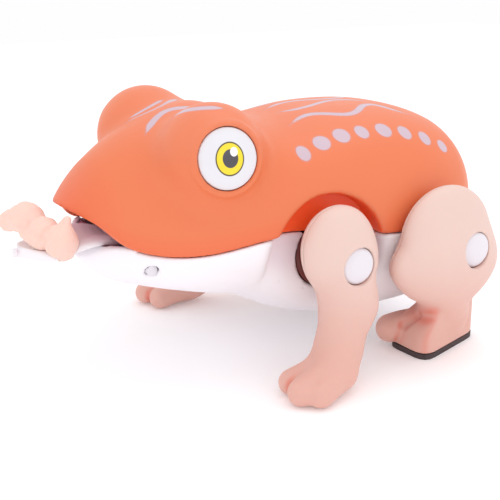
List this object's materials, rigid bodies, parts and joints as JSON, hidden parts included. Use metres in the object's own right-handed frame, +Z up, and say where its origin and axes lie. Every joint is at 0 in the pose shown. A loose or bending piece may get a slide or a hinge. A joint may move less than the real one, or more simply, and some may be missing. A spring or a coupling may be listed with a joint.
{
  "type": "wind-up jumping frog toy",
  "caption": "Wind-up toy frog with a painted upper shell, white belly, rocking legs on a clockwork drive, and a tongue holding a soft bait.",
  "frame": {"origin": "centre of the underside of the box that holds the standing frog", "axes": "+X to the frog's left, +Y towards its rump (it faces -Y), +Z up"},
  "size_m": [0.1244, 0.1744, 0.0894],
  "materials": {
    "orange_shell": "satin moulded, painted stripes and spots",
    "white_shell": "satin",
    "mouth_mauve": "satin",
    "tongue_white": "soft gloss",
    "bait_pink": "soft matt",
    "eye_white": "gloss, printed iris and pupil",
    "leg_skin": "satin, sprayed darker in the creases",
    "cap_white": "soft gloss",
    "sole_rubber": "matt",
    "hub_brown": "satin",
    "steel": "bright",
    "spring_steel": "blued",
    "gear_nylon": "natural nylon",
    "case_plastic": "satin"
  },
  "bodies": {
    "frog_body": {"upper_shell": "orange_shell", "lower_shell": "white_shell", "palate": "mouth_mauve", "mouth_floor": "mouth_mauve", "tongue_pin": "cap_white", "mainspring": "spring_steel", "case_left": "case_plastic", "case_right": "case_plastic", "eye_disc_left": "eye_white", "eye_disc_right": "eye_white", "front_bearing_left": "hub_brown", "front_bearing_right": "hub_brown", "hind_bearing_left": "hub_brown", "hind_bearing_right": "hub_brown", "case_screw_1": "steel", "case_screw_2": "steel", "case_screw_3": "steel", "case_screw_4": "steel", "shell_screw_1": "steel", "shell_screw_2": "steel", "shell_screw_3": "steel", "shell_screw_4": "steel"},
    "hind_legs": {"hind_axle": "steel", "hind_rocker": "gear_nylon", "hind_leg_outer_left": "leg_skin", "hind_leg_outer_right": "leg_skin", "hind_leg_inner_left": "leg_skin", "hind_leg_inner_right": "leg_skin", "hind_cap_left": "cap_white", "hind_cap_right": "cap_white", "hind_leg_screw_left": "steel", "hind_leg_screw_right": "steel", "hind_sole_left": "sole_rubber", "hind_sole_right": "sole_rubber"},
    "front_legs": {"front_axle": "steel", "front_rocker": "gear_nylon", "front_leg_outer_left": "leg_skin", "front_leg_outer_right": "leg_skin", "front_leg_inner_left": "leg_skin", "front_leg_inner_right": "leg_skin", "front_cap_left": "cap_white", "front_cap_right": "cap_white", "front_leg_screw_left": "steel", "front_leg_screw_right": "steel"},
    "tie_rod": {"tie_rod": "steel"},
    "winding_works": {"winding_arbor": "steel", "great_wheel": "gear_nylon", "key": "steel"},
    "second_works": {"second_gear": "gear_nylon", "second_arbor": "steel"},
    "crank_works": {"crank_gear": "gear_nylon", "crank": "steel"},
    "governor_works": {"governor": "gear_nylon"},
    "tongue_works": {"tongue": "tongue_white", "bait": "bait_pink"}
  },
  "joints": [
    {"name": "hind_rock", "type": "hinge", "parent": "frog_body", "child": "hind_legs", "pos_m": [0, 0.0535, 0.0384], "axis": [1, 0, 0], "range_deg": [-14, 14]},
    {"name": "front_rock", "type": "hinge", "parent": "frog_body", "child": "front_legs", "pos_m": [0, 0.0072, 0.0396], "axis": [1, 0, 0], "range_deg": [-14, 14]},
    {"name": "tie_rod_pivot", "type": "hinge", "parent": "hind_legs", "child": "tie_rod", "pos_m": [0, 0.0535, 0.0504], "axis": [1, 0, 0], "range_deg": [-14, 14]},
    {"name": "key_wind", "type": "hinge", "parent": "frog_body", "child": "winding_works", "pos_m": [0, -0.0308, 0.0474], "axis": [1, 0, 0], "continuous": true},
    {"name": "second_spin", "type": "hinge", "parent": "frog_body", "child": "second_works", "pos_m": [0, -0.01344, 0.0556], "axis": [1, 0, 0], "continuous": true},
    {"name": "crank_spin", "type": "hinge", "parent": "frog_body", "child": "crank_works", "pos_m": [0, -0.0138, 0.0396], "axis": [1, 0, 0], "continuous": true},
    {"name": "governor_spin", "type": "hinge", "parent": "frog_body", "child": "governor_works", "pos_m": [0, -0.00257, 0.04574], "axis": [1, 0, 0], "continuous": true},
    {"name": "tongue_lift", "type": "hinge", "parent": "frog_body", "child": "tongue_works", "pos_m": [0, -0.0508, 0.0407], "axis": [1, 0, 0], "range_deg": [-5, 0]}
  ],
  "couplings": [
    {"joint": "front_rock", "follows": "hind_rock", "ratio": 1},
    {"joint": "tie_rod_pivot", "follows": "hind_rock", "ratio": -1},
    {"joint": "second_spin", "follows": "key_wind", "ratio": -3},
    {"joint": "crank_spin", "follows": "key_wind", "ratio": 9},
    {"joint": "governor_spin", "follows": "key_wind", "ratio": -27}
  ]
}
